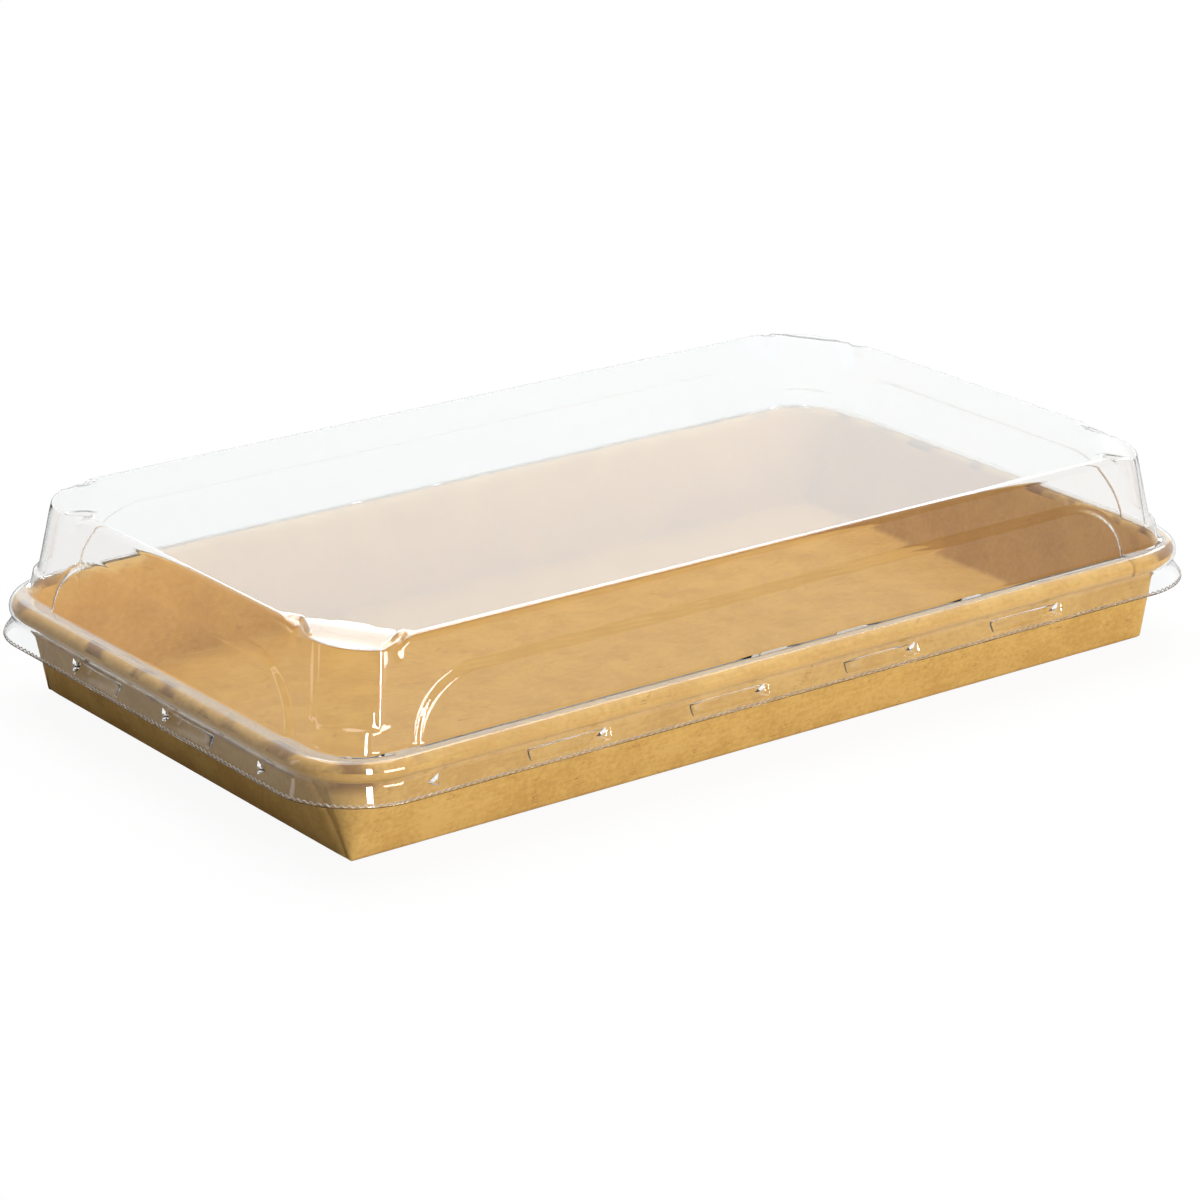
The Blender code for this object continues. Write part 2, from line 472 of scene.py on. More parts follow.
@dataclass(frozen=True)
class ClearSheet:
    """Clear drawn plastic, with some haze where it is flat and a faint unevenness from the mould. The haze
    is partly real and partly a painted sheen for the bright light that the flat top reflects.
    """

    name: str
    tint: Colour
    clearness: float = 1.0
    roughness: float = 0.01
    unevenness: float = 0.15
    index: float = 1.5
    ripple_scale: float = 260.0
    ripple_height: float = 0.05 * MM
    shown_alpha: float = 0.3

    def make(self) -> bpy.types.Material:
        """Build the material.

        Returns:
            The finished material.
        """
        material = bpy.data.materials.new(self.name)
        material.use_nodes = True
        material.diffuse_color = (*self.tint[:3], self.shown_alpha)
        tree = Tree(material.node_tree)
        shader = material.node_tree.nodes["Principled BSDF"]
        shader.inputs["Base Color"].default_value = self.tint
        shader.inputs["Transmission Weight"].default_value = self.clearness
        shader.inputs["IOR"].default_value = self.index
        shader.inputs["Roughness"].default_value = self.roughness
        place = tree.add("ShaderNodeTexCoord").outputs["Object"]
        ripple = tree.noise(place, self.ripple_scale, 2.0)
        tree.feed(shader.inputs["Normal"], tree.bumped(ripple, self.unevenness, self.ripple_height))
        return material


# ---------------------------------------------------------------- rings and sheets


@dataclass
class Ring:
    """One closed ring of a sheet, counter-clockwise from the front side."""

    points: list[Point] = field(default_factory=list)
    runs: list[float] = field(default_factory=list)
    ways: list[Point] = field(default_factory=list)
    band: float = 0.0


class Loft:
    """A stack of rings of equal length, bridged into one open skin."""

    def __init__(self) -> None:
        """Start an empty skin with the attributes that the trees read."""
        self.mesh = bmesh.new()
        self.run = self.mesh.verts.layers.float.new("run")
        self.band = self.mesh.verts.layers.float.new("band")
        self.way = self.mesh.verts.layers.float_vector.new("way")
        self.rings: list[list[bmesh.types.BMVert]] = []

    def add(self, ring: Ring) -> None:
        """Add a ring and bridge it to the one before.

        Args:
            ring: The ring, with as many points as the ones before.
        """
        verts = []
        for spot, run, way in zip(ring.points, ring.runs, ring.ways):
            vert = self.mesh.verts.new(spot)
            vert[self.run] = run
            vert[self.band] = ring.band
            vert[self.way] = way
            verts.append(vert)
        if self.rings:
            above = self.rings[-1]
            for index in range(len(verts)):
                follow = (index + 1) % len(verts)
                self.mesh.faces.new((above[index], verts[index], verts[follow], above[follow]))
        self.rings.append(verts)

    def to_piece(self, name: str, materials: Sequence[bpy.types.Material]) -> bpy.types.Object:
        """Close the first ring with a flat face and make an object of the skin, open at its last ring.

        Args:
            name: The object's name.
            materials: The object's materials.

        Returns:
            The new object.
        """
        self.mesh.faces.new(self.rings[0])
        bmesh.ops.remove_doubles(self.mesh, verts=self.mesh.verts[:], dist=WELD)
        mesh = bpy.data.meshes.new(name)
        self.mesh.to_mesh(mesh)
        self.mesh.free()
        for material in materials:
            mesh.materials.append(material)
        mesh.shade_smooth()
        return add_piece(name, mesh)


def thicken(piece: bpy.types.Object, thickness: float, back: int = 0, edge: int = 0) -> None:
    """Give a skin its thickness behind its faces.

    Args:
        piece: The skin's object.
        thickness: The sheet's thickness.
        back: The step to the material slot of the back.
        edge: The step to the material slot of the cut edge.
    """
    solid = piece.modifiers.new("thickness", "SOLIDIFY")
    solid.thickness = thickness
    solid.offset = -1.0
    solid.use_quality_normals = True
    solid.material_offset = back
    solid.material_offset_rim = edge


@dataclass(frozen=True)
class RimLine:
    """The centre line of the rolled rim: a rounded rectangle that the lid follows too."""

    half_length: float
    half_width: float
    height: float
    corner: float = 16.6 * MM
    corner_steps: int = 22

    def corner_points(self, side: Side, offset: float) -> list[Plan]:
        """Points round the corner after a side, at an offset from the centre line.

        Args:
            side: The side that the corner follows.
            offset: How far outside the centre line they are.

        Returns:
            Plan positions, counter-clockwise.
        """
        radius = self.corner + offset
        return rounded_corner(
            side, self.half_length + offset, self.half_width + offset, (radius, radius), self.corner_steps
        )


def turned(side: Side, points: list[Plan]) -> list[Plan]:
    """Move a front-right corner's points to the corner after another side.

    Args:
        side: The side that the corner follows.
        points: The points at the corner after the front side.

    Returns:
        The points in their place, counter-clockwise.
    """
    if side in (Side.RIGHT, Side.LEFT):
        points = [(x, -y) for x, y in reversed(points)]
    return [(side.sign * x, side.sign * y) for x, y in points]


def rounded_corner(side: Side, half_length: float, half_width: float, legs: Plan, steps: int) -> list[Plan]:
    """Points of an elliptical corner.

    Args:
        side: The side that the corner follows.
        half_length: Half the outline's length.
        half_width: Half the outline's width.
        legs: How far the corner reaches along X and along Y.
        steps: How many steps it has.

    Returns:
        Plan positions, counter-clockwise.
    """
    points = []
    for step in range(steps + 1):
        angle = pi / 2 * step / steps - pi / 2
        x = half_length + legs[0] * (cos(angle) - 1.0)
        y = legs[1] * (sin(angle) + 1.0) - half_width
        points.append((x, y))
    return turned(side, points)


# ---------------------------------------------------------------- tray


@dataclass
class BoardTray:
    """The tray: a sharp-cornered floor, leaning walls, folded corners and a rolled rim.

    A seam crosses the roll of each long side. A folded flap laps over each corner.
    """

    rim: RimLine
    floor_length: float
    floor_width: float
    board: float = 0.45 * MM
    roll: float = 2.2 * MM
    roll_start: float = radians(163.8)
    roll_end: float = radians(-140.0)
    roll_steps: int = 22
    wall_rings: int = 8
    station_step: float = 4.0 * MM
    crease: float = 0.7 * MM
    bow: float = 0.35 * MM
    seam_run: float = 103.0 * MM
    seam_depth: float = 0.7 * MM
    seam_half_width: float = 0.55 * MM
    seam_reach: float = 0.6 * MM
    seam_step: float = 0.2 * MM
    seam_start: float = radians(150.0)
    flap_share: float = 0.2
    flap_edge: float = 0.05
    flap_depth: float = 0.3 * MM
    flap_top: float = 0.1

    def stations(self, side: Side) -> list[float]:
        """Where the rings have points along a side.

        Args:
            side: The side.

        Returns:
            The runs, in order.
        """
        reach = (self.rim.half_length if side.is_long else self.rim.half_width) - self.rim.corner
        runs = spread(-reach, reach, self.station_step)
        if side.is_long:
            runs += spread(self.seam_run - self.seam_reach, self.seam_run + self.seam_reach, self.seam_step)
        return sorted(runs)

    def ring(
        self,
        make: Callable[[Side, float], tuple[Plan, float]],
        corner: Callable[[Side], list[Point]],
    ) -> Ring:
        """Put a ring together from its sides and corners.

        Args:
            make: Gives the plan place and the height at a run along a side.
            corner: Gives the points of the corner after a side.

        Returns:
            The ring.
        """
        ring = Ring()
        for side in Side:
            for run in self.stations(side):
                plan, height = make(side, run)
                ring.points.append((plan[0], plan[1], height))
            ring.points += corner(side)
        ring.runs = [0.0] * len(ring.points)
        ring.ways = [(0.0, 0.0, 0.0)] * len(ring.points)
        return ring

    def floor_ring(self, inset: float, height: float) -> Ring:
        """A ring on the floor: all the points of a corner fall on the floor's own corner.

        Args:
            inset: How far inside the floor's edge it is.
            height: Its height.

        Returns:
            The ring.
        """
        half_length = self.floor_length / 2 - inset
        half_width = self.floor_width / 2 - inset

        def make(side: Side, run: float) -> tuple[Plan, float]:
            """Place a run of the rim's side on the floor's shorter side, in proportion."""
            reach = self.rim.half_length if side.is_long else self.rim.half_width
            along, out = (half_length, half_width) if side.is_long else (half_width, half_length)
            return side.place(run / (reach - self.rim.corner) * along, out), height

        def corner(side: Side) -> list[Point]:
            """Put all of a corner's points on the floor's corner."""
            spot = turned(side, [(half_length, -half_width)])[0]
            return [(spot[0], spot[1], height)] * (self.rim.corner_steps + 1)

        return self.ring(make, corner)

    def roll_ring(self, angle: float) -> Ring:
        """A ring of the rolled rim at an angle round the roll's section.

        Args:
            angle: The angle, counter-clockwise from straight out.

        Returns:
            The ring.
        """
        def make(side: Side, run: float) -> tuple[Plan, float]:
            """Place a run on the roll's section, which is pinched at the seam."""
            radius = self.roll
            if side.is_long and angle < self.seam_start:
                gap = abs(run - self.seam_run) / self.seam_half_width
                radius -= self.seam_depth * (1.0 - smooth(gap))
            half = self.rim.half_width if side.is_long else self.rim.half_length
            return side.place(run, half + radius * cos(angle)), self.rim.height + radius * sin(angle)

        def corner(side: Side) -> list[Point]:
            """Carry the roll's section round a corner."""
            height = self.rim.height + self.roll * sin(angle)
            return [(x, y, height) for x, y in self.rim.corner_points(side, self.roll * cos(angle))]

        return self.ring(make, corner)

    def wall_ring(self, foot: Ring, head: Ring, share: float) -> Ring:
        """A ring between the floor and the roll, with the walls' bow and the folded flaps.

        Args:
            foot: The ring at the wall's foot.
            head: The ring at the wall's head.
            share: How far up the wall it is.

        Returns:
            The ring.
        """
        ring = Ring(runs=list(head.runs), ways=list(head.ways))
        index = 0
        for side in Side:
            runs = self.stations(side)
            way = Vector(side.outward())
            for run in runs:
                bow = self.bow * sin(pi * share) * (1.0 - (run / runs[-1]) ** 2)
                spot = Vector(foot.points[index]).lerp(Vector(head.points[index]), share) + way * bow
                ring.points.append(spot[:])
                index += 1
            for step in range(self.rim.corner_steps + 1):
                fan = step / self.rim.corner_steps
                from_short = 1.0 - fan if side.is_long else fan
                lap = smooth((self.flap_share - from_short) / self.flap_edge + 0.5)
                lift = sin(pi * min(share, 0.5)) * smooth((1.0 - share) / self.flap_top)
                spot = Vector(foot.points[index]).lerp(Vector(head.points[index]), share)
                inward = Vector((-spot.x, -spot.y, 0.0)).normalized()
                ring.points.append((spot + inward * lap * lift * self.flap_depth)[:])
                index += 1
        return ring

    def build(self, lining: bpy.types.Material, outside: bpy.types.Material) -> bpy.types.Object:
        """Build the whole folded sheet.

        Args:
            lining: The finish of the food side.
            outside: The finish of the outer side and of the cut edge.

        Returns:
            The tray's object.
        """
        loft = Loft()
        flare = pi - self.roll_start
        # The fold at the walls' foot is a small rounding, so four rings lie close together there.
        foot = self.floor_ring(self.board * 0.75, self.board)
        head = self.roll_ring(self.roll_start)
        loft.add(self.floor_ring(self.crease + self.board, self.board))
        loft.add(self.floor_ring(self.board + self.crease * 0.4, self.board + self.crease * 0.04))
        rise = self.crease / (self.rim.height * cos(flare))
        start = rise * 1.3
        shares = [start + (1.0 - start) * (index / self.wall_rings) for index in range(self.wall_rings)]
        for share in [rise * 0.55] + shares:
            loft.add(self.wall_ring(foot, head, share))
        turn = (self.roll_end - self.roll_start) / self.roll_steps
        for step in range(self.roll_steps + 1):
            loft.add(self.roll_ring(self.roll_start + turn * step))
        piece = loft.to_piece("tray_board", (lining, outside))
        self.paint_roll(piece)
        thicken(piece, self.board, back=1, edge=1)
        return settled(piece)

    def paint_roll(self, piece: bpy.types.Object) -> None:
        """Give the rolled rim the outer finish: its coating is stretched and dulled there.

        Args:
            piece: The tray's skin.
        """
        start = self.rim.height + self.roll * sin(self.roll_start)
        for face in piece.data.polygons:
            if face.center.z > start:
                face.material_index = 1


# ---------------------------------------------------------------- lid


@dataclass(frozen=True)
class PressDents:
    """The dents that hold the skirt under the rim, and the nib beside each of them."""

    first: float
    pitch: float
    length: float
    count: int
    nib_first: float
    nib_count: int

    def ends(self) -> list[float]:
        """Where the dents start and end along their side."""
        starts = [self.first + self.pitch * index for index in range(self.count)]
        return starts + [start + self.length for start in starts]

    def nibs(self) -> list[float]:
        """Where the nibs stand along their side."""
        return [self.nib_first + self.pitch * index for index in range(self.nib_count)]


@dataclass
class ClearLid:
    """The lid: one clear sheet from its flat top down to the waved edge of its skirt.

    Angles are in degrees, and insets of the top are in millimetres. Pairs of spans and reaches
    give the long sides first. Each corner of the top sinks between two raised ears.
    """

    rim: RimLine
    top: float
    skirt_bottom: float
    skirt_reach: float
    sheet: float = 0.4 * MM
    bead: float = 2.9 * MM
    edge_round: float = 1.8 * MM
    top_half_length: float = 117.4 * MM
    top_half_width: float = 67.35 * MM
    foot_half_length: float = 121.5 * MM
    foot_half_width: float = 70.4 * MM
    column_legs_top: Plan = (8.6 * MM, 14.6 * MM)
    column_legs_foot: Plan = (9.6 * MM, 13.6 * MM)
    column_bulge: float = 2.1 * MM
    column_fillet: float = 0.14
    column_edge: float = 0.35
    corner_drop: float = 1.5 * MM
    corner_reach: float = 7.0 * MM
    corner_sharpness: float = 0.6
    ear_rise: float = 1.3 * MM
    ear_away: float = 3.2 * MM
    ear_half_width: float = 2.6 * MM
    top_insets: tuple[float, ...] = (54.0, 36.0, 22.0, 13.0, 9.0, 6.5, 4.5, 3.0, 1.6, 0.6)
    edge_angles: tuple[float, ...] = (90.0, 75.0, 60.0, 45.0, 30.0, 15.0, 0.0)
    wall_head: tuple[float, ...] = (45.2 * MM, 43.8 * MM)
    wall_above_step: Plan = (42.6 * MM, 32.5 * MM)
    wall_below_step: float = 30.2 * MM
    wall_end_gap: float = 0.9 * MM
    ring_step: float = 0.62 * MM
    foot_fillet: float = 0.7 * MM
    foot_angles: tuple[float, ...] = (20.0, 45.0, 70.0, 90.0)
    step_top: float = 31.9 * MM
    step_bottom: float = 30.7 * MM
    arch_top: float = 40.1 * MM
    arch_rise: float = 1.0 * MM
    arch_step: float = 1.6 * MM
    arch_corner: float = 17.0 * MM
    arch_half_spans: Plan = (102.4 * MM, 50.0 * MM)
    side_reaches: Plan = (107.0 * MM, 52.5 * MM)
    arch_margin: float = 3.0 * MM
    straight_step: float = 8.0 * MM
    end_step: float = 0.54 * MM
    least_step: float = 0.12 * MM
    dent_end_shifts: tuple[float, ...] = (-0.6, -0.2, 0.2, 0.6)
    ledge_inset: float = 1.0 * MM
    bead_end: float = -32.0
    bead_step: float = 10.0
    neck_offset: float = 2.2 * MM
    neck_height: float = 20.6 * MM
    neck_rounding: Plan = (0.05 * MM, 0.35 * MM)
    skirt_step: float = 0.33 * MM
    skirt_curve: float = 1.3
    dent_top: float = 20.1 * MM
    dent_bottom: float = 17.8 * MM
    dent_depth: float = 1.2 * MM
    dent_ramp: float = 0.8 * MM
    dent_lip: float = 0.7 * MM
    nib_crest: float = 0.8 * MM
    nib_foot: float = 1.9 * MM
    nib_rise: float = 0.55 * MM
    nib_lift: float = 0.1 * MM
    wave_length: float = 1.7 * MM
    wave_height: float = 0.24 * MM
    wave_step: float = 0.3 * MM
    trim_radius: float = 0.16 * MM
    trim_inset: float = 0.3 * MM
    trim_lift: float = 0.42 * MM
    flat_normal: float = 0.95
    long_dents: PressDents = PressDents(-76.6 * MM, 44.5 * MM, 22.2 * MM, 4, -101.3 * MM, 5)
    short_dents: PressDents = PressDents(-30.0 * MM, 39.0 * MM, 18.4 * MM, 2, -30.7 * MM, 3)

    @property
    def wall_top(self) -> float:
        """Height at which the wall starts below its rounded edge."""
        return self.top - self.edge_round

    @property
    def ledge(self) -> float:
        """Height of the flat ledge at the wall's foot."""
        return self.rim.height + self.bead

    def dents(self, side: Side) -> PressDents:
        """The dents of a side."""
        return self.long_dents if side.is_long else self.short_dents

    def stations(self, side: Side) -> list[float]:
        """Where the rings have points along a side: closer together where the shape turns.

        Args:
            side: The side.

        Returns:
            The runs, in order.
        """
        axis = 0 if side.is_long else 1
        inner = self.arch_half_spans[axis] - self.arch_corner - self.arch_margin
        ends = spread(inner, self.side_reaches[axis], self.end_step)
        runs = spread(-inner, inner, self.straight_step)[1:-1] + ends + [-run for run in ends]
        for end in self.dents(side).ends():
            runs += [end + shift * self.dent_ramp for shift in self.dent_end_shifts]
        runs.sort()
        kept = [runs[0]]
        for run in runs[1:]:
            if run - kept[-1] > self.least_step:
                kept.append(run)
        return kept

    def halves(self, height: float) -> Plan:
        """Half length and half width of the drafted wall at a height.

        Args:
            height: The height.

        Returns:
            Both halves.
        """
        share = (self.wall_top - height) / (self.wall_top - self.ledge)
        return (
            self.top_half_length + share * (self.foot_half_length - self.top_half_length),
            self.top_half_width + share * (self.foot_half_width - self.top_half_width),
        )

    def arch(self, run: float, height: float, side: Side) -> float:
        """How much of the arch's rise a spot of the wall has.

        Args:
            run: Where it is along the side.
            height: Its height.
            side: The side.

        Returns:
            A share from 0 to 1.
        """
        span = self.arch_half_spans[0 if side.is_long else 1]
        lift = (height - self.ledge) / (self.arch_top - self.ledge)
        past = (abs(run) - (span - self.arch_corner)) / self.arch_corner
        distance = 1.0 - hypot(max(lift, 0.0), max(past, 0.0))
        return smooth(distance * self.arch_corner / self.arch_step + 0.5)

    def column(self, side: Side, half_length: float, half_width: float, height: float) -> list[Plan]:
        """Points of a corner column: a bulging face between two soft upright edges.

        Args:
            side: The side that the corner follows.
            half_length: Half the wall's length at this height.
            half_width: Half the wall's width at this height.
            height: The height.

        Returns:
            Plan positions, counter-clockwise.
        """
        share = (self.wall_top - height) / (self.wall_top - self.step_top)
        leg_x = self.column_legs_top[0] + share * (self.column_legs_foot[0] - self.column_legs_top[0])
        leg_y = self.column_legs_top[1] + share * (self.column_legs_foot[1] - self.column_legs_top[1])
        span = hypot(leg_x, leg_y)
        points = []
        for step in range(self.rim.corner_steps + 1):
            along = step / self.rim.corner_steps
            ease = min(along, 1.0 - along) / self.column_fillet
            soft = smooth(self.column_edge + (1.0 - self.column_edge) * ease)
            bulge = self.column_bulge * 4.0 * along * (1.0 - along) * soft
            x = half_length - leg_x * (1.0 - along) + bulge * leg_y / span
            y = leg_y * along - half_width - bulge * leg_x / span
            points.append((x, y))
        return turned(side, points)

    def near_corner(self, x: float, y: float) -> float:
        """How far a spot of the top is inside the line that cuts its corner.

        Args:
            x: The spot's X.
            y: The spot's Y.

        Returns:
            The distance, negative outside the line.
        """
        leg_x, leg_y = self.column_legs_top
        span = hypot(leg_x, leg_y)
        away_x = self.top_half_length - leg_x - abs(x)
        away_y = self.top_half_width - abs(y)
        return (away_x * leg_y + away_y * leg_x) / span

    def ring(
        self,
        halves: Plan,
        height: float,
        corner: Callable[[Side], list[Plan]],
        arch: bool = False,
        band: float = 0.0,
    ) -> Ring:
        """Put a level ring together.

        Args:
            halves: Half length and half width of its straight sides.
            height: Its height.
            corner: Gives the corner after a side.
            arch: Whether the walls' arches push it out.
            band: How much of the dents' depth it has.

        Returns:
            The ring.
        """
        ring = Ring(band=band)
        for side in Side:
            half = halves[1] if side.is_long else halves[0]
            for run in self.stations(side):
                out = half + (self.arch_rise * self.arch(run, height, side) if arch else 0.0)
                x, y = side.place(run, out)
                ring.points.append((x, y, height))
                ring.runs.append(run)
            for x, y in corner(side):
                ring.points.append((x, y, height))
                ring.runs.append(1.0)
            ring.ways += [side.outward()] * (len(ring.points) - len(ring.ways))
        return ring

    def top_rings(self) -> list[Ring]:
        """The flat top and the rounded edge, with their corners sunk towards the columns.

        Returns:
            The rings, from the middle of the top outwards.
        """
        wall = self.ring(
            (self.top_half_length, self.top_half_width),
            self.wall_top,
            lambda side: self.column(side, self.top_half_length, self.top_half_width, self.wall_top),
        )
        top = [self.edge_ring(wall, radians(90.0), inset * MM) for inset in self.top_insets]
        return top + [self.edge_ring(wall, radians(angle), 0.0) for angle in self.edge_angles]

    def edge_ring(self, wall: Ring, angle: float, inset: float) -> Ring:
        """A ring of the rounded edge, or of the top inside it.

        Args:
            wall: The ring at the head of the wall.
            angle: Where it is on the rounding: a right angle is its flat end.
            inset: How far inside the rounding it is.

        Returns:
            The ring.
        """
        ring = Ring(runs=wall.runs, ways=wall.ways)
        for x, y, _ in wall.points:
            away = max(self.near_corner(x, y), 0.0)
            sunk = 1.0 - smooth(away / self.corner_reach)
            ear = 1.0 - smooth(abs(away - self.ear_away) / self.ear_half_width)
            sharper = self.corner_sharpness * self.edge_round * smooth(sunk * 2.0 - 1.0)
            radius = self.edge_round + self.ear_rise * ear - sharper
            back = radius * (1.0 - cos(angle)) + inset
            place_x = x * (1.0 - back / self.top_half_length)
            place_y = y * (1.0 - back / self.top_half_width)
            inner = max(self.near_corner(place_x, place_y), 0.0)
            sunk_here = 1.0 - smooth(inner / self.corner_reach) if inset else sunk
            height = self.top - self.corner_drop * sunk_here - radius * (1.0 - sin(angle))
            ring.points.append((place_x, place_y, height))
        return ring

    def wall_rings(self) -> list[Ring]:
        """The walls, from below the rounded edge down to the ledge.

        Returns:
            The rings, from the top down.
        """
        rings = []
        steps = [self.step_top - 0.3 * MM * index for index in range(5)]
        heights = [*self.wall_head, *spread(*self.wall_above_step, self.ring_step), *steps]
        heights += spread(self.wall_below_step, self.ledge + self.wall_end_gap, self.ring_step)
        for height in heights:
            halves = self.halves(height)
            share = smooth((self.step_top - height) / (self.step_top - self.step_bottom))
            legs = self.column_legs_foot

            def corner(side: Side) -> list[Plan]:
                """Blend the column above the step into the round corner below it."""
                upper = self.column(side, halves[0], halves[1], max(height, self.step_top))
                lower = rounded_corner(side, halves[0], halves[1], legs, self.rim.corner_steps)
                return [
                    (a[0] + share * (b[0] - a[0]), a[1] + share * (b[1] - a[1]))
                    for a, b in zip(upper, lower)
                ]

            rings.append(self.ring(halves, height, corner, arch=True))
        return rings

    def foot_rings(self) -> list[Ring]:
        """The small fillet between the walls and the ledge.

        Returns:
            The rings, from the top down.
        """
        rings = []
        radius = self.foot_fillet
        start = self.halves(self.ledge + radius)
        for angle in self.foot_angles:
            out = radius * (1.0 - cos(radians(angle)))
            height = self.ledge + radius * (1.0 - sin(radians(angle)))
            halves = (start[0] + out, start[1] + out)

            def corner(side: Side) -> list[Plan]:
                """Carry the fillet round a corner."""
                legs = (self.column_legs_foot[0] + out, self.column_legs_foot[1] + out)
                return rounded_corner(side, halves[0], halves[1], legs, self.rim.corner_steps)

            rings.append(self.ring(halves, height, corner, arch=True))
        return rings

    def rim_ring(self, offset: float, height: float, band: float = 0.0) -> Ring:
        """A ring of the ledge, bead or skirt, set off from the rim's centre line."""
        halves = (self.rim.half_length + offset, self.rim.half_width + offset)
        return self.ring(halves, height, lambda side: self.rim.corner_points(side, offset), band=band)

    def skirt_offset(self, height: float) -> float:
        """How far the flaring skirt stands off the rim's centre line at a height."""
        share = (self.neck_height - height) / (self.neck_height - self.skirt_bottom)
        return self.neck_offset + share ** self.skirt_curve * (self.skirt_reach - self.neck_offset)

    def skirt_rings(self) -> list[Ring]:
        """The ledge, the bead over the roll, the neck and the skirt.

        Returns:
            The rings, from the ledge outwards and down.
        """
        rings = [self.rim_ring(-self.ledge_inset, self.ledge)]
        for angle in spread(90.0, self.bead_end, self.bead_step):
            turn = radians(angle)
            rings.append(self.rim_ring(self.bead * cos(turn), self.rim.height + self.bead * sin(turn)))
        out, up = self.neck_rounding
        rings.append(self.rim_ring(self.neck_offset + out, self.neck_height + up))
        for height in spread(self.neck_height, self.skirt_bottom, self.skirt_step):
            below_top = smooth((self.dent_top - height) / self.dent_lip)
            above_bottom = smooth((height - self.dent_bottom) / self.dent_lip + 0.5)
            rings.append(self.rim_ring(self.skirt_offset(height), height, below_top * above_bottom))
        return rings

    def dent_tree(self, material: bpy.types.Material) -> GeometryTree:
        """The tree that presses the repeated dents into the skirt.

        Args:
            material: The sheet's material.

        Returns:
            The tree.
        """
        tree = GeometryTree("press_dents")
        run = tree.attribute("run", "FLOAT")
        band = tree.attribute("band", "FLOAT")
        way = tree.attribute("way", "FLOAT_VECTOR")
        is_long = tree.math("GREATER_THAN", tree.math("ABSOLUTE", tree.axes(way)[1]), 0.5)
        is_short = tree.math("SUBTRACT", 1.0, is_long)
        on_long = tree.math("MULTIPLY", is_long, self.dent_cover(tree, run, self.long_dents, "Long"))
        on_short = tree.math("MULTIPLY", is_short, self.dent_cover(tree, run, self.short_dents, "Short"))
        cover = tree.math("MULTIPLY", tree.math("ADD", on_long, on_short), band)
        depth = tree.math("MULTIPLY", cover, tree.size("Dent depth", self.dent_depth))
        shift = tree.add("ShaderNodeVectorMath", operation="SCALE")
        tree.feed(shift.inputs[0], way)
        tree.feed(shift.inputs["Scale"], tree.math("MULTIPLY", depth, -1.0))
        move = tree.add("GeometryNodeSetPosition")
        tree.feed(move.inputs["Geometry"], tree.start.outputs[0])
        tree.feed(move.inputs["Offset"], shift.outputs[0])
        tree.finish(move.outputs["Geometry"], material)
        return tree

    def dent_cover(
        self, tree: GeometryTree, run: bpy.types.NodeSocket, dents: PressDents, label: str
    ) -> bpy.types.NodeSocket:
        """How much of a dent's depth a spot has, by its run along the side.

        Args:
            tree: The tree under construction.
            run: The run of each point.
            dents: The side's dents.
            label: The word that starts the inputs' names.

        Returns:
            A share from 0 to 1.
        """
        pitch = tree.size(f"{label} pitch", dents.pitch)
        length = tree.size(f"{label} length", dents.length)
        first = tree.size(f"{label} first", dents.first)
        from_first = tree.math("SUBTRACT", run, first)
        index = tree.math("FLOOR", tree.math("DIVIDE", from_first, pitch))
        inside = tree.math("SUBTRACT", from_first, tree.math("MULTIPLY", index, pitch))
        nearest = tree.math("MINIMUM", inside, tree.math("SUBTRACT", length, inside))
        cover = tree.ramp(nearest, 0.0, self.dent_ramp)
        after = tree.math("GREATER_THAN", index, -0.5)
        before = tree.math("LESS_THAN", index, dents.count - 0.5)
        return tree.math("MULTIPLY", cover, tree.math("MULTIPLY", after, before))

    def build_sheet(self, material: bpy.types.Material, flat: bpy.types.Material) -> bpy.types.Object:
        """Build the lid's sheet, closed, with its thickness inwards.

        Args:
            material: The sheet's material.
            flat: The hazier material of its flat top and ledge, partly real haze and partly a painted sheen
                of the light they reflect.

        Returns:
            The lid's object.
        """
        loft = Loft()
        for ring in self.top_rings() + self.wall_rings() + self.foot_rings() + self.skirt_rings():
            loft.add(ring)
        piece = loft.to_piece("lid_sheet", (material,))
        self.dent_tree(material).put_on(piece)
        thicken(piece, self.sheet)
        settled(piece)
        # The flat top and ledge take the hazy sheet, which stands partly for real haze and partly as a
        # painted sheen for the bright light that they reflect.
        piece.data.materials.append(flat)
        for face in piece.data.polygons:
            if face.center.z > self.rim.height and abs(face.normal.z) > self.flat_normal:
                face.material_index = 1
        return piece

    def build_trim(self, material: bpy.types.Material) -> bpy.types.Object:
        """Build the skirt's waved cut edge, swept along the skirt's outline.

        Args:
            material: The sheet's material.

        Returns:
            The trim's object.
        """
        offset = self.skirt_reach - self.trim_inset
        spots = []
        for side in Side:
            half = (self.rim.half_width if side.is_long else self.rim.half_length) + offset
            for run in self.stations(side):
                spots.append(side.place(run, half))
            spots += self.rim.corner_points(side, offset)
        mesh = bpy.data.meshes.new("lid_trim")
        height = self.skirt_bottom + self.trim_lift
        edges = [(index, (index + 1) % len(spots)) for index in range(len(spots))]
        mesh.from_pydata([(x, y, height) for x, y in spots], edges, [])
        piece = add_piece("lid_trim", mesh)
        tree = GeometryTree("waved_edge")
        path = tree.add("GeometryNodeMeshToCurve")
        tree.feed(path.inputs[0], tree.start.outputs[0])
        fine = tree.add("GeometryNodeResampleCurve", mode="LENGTH")
        tree.feed(fine.inputs["Curve"], path.outputs[0])
        tree.feed(fine.inputs["Length"], tree.size("Step", self.wave_step))
        way = tree.add("GeometryNodeSplineParameter").outputs["Length"]
        turns = tree.math("MULTIPLY", way, 2.0 * pi)
        phase = tree.math("DIVIDE", turns, tree.size("Wave length", self.wave_length))
        wave = tree.math("MULTIPLY", tree.math("SINE", phase), tree.size("Wave height", self.wave_height))
        lift = tree.add("ShaderNodeCombineXYZ")
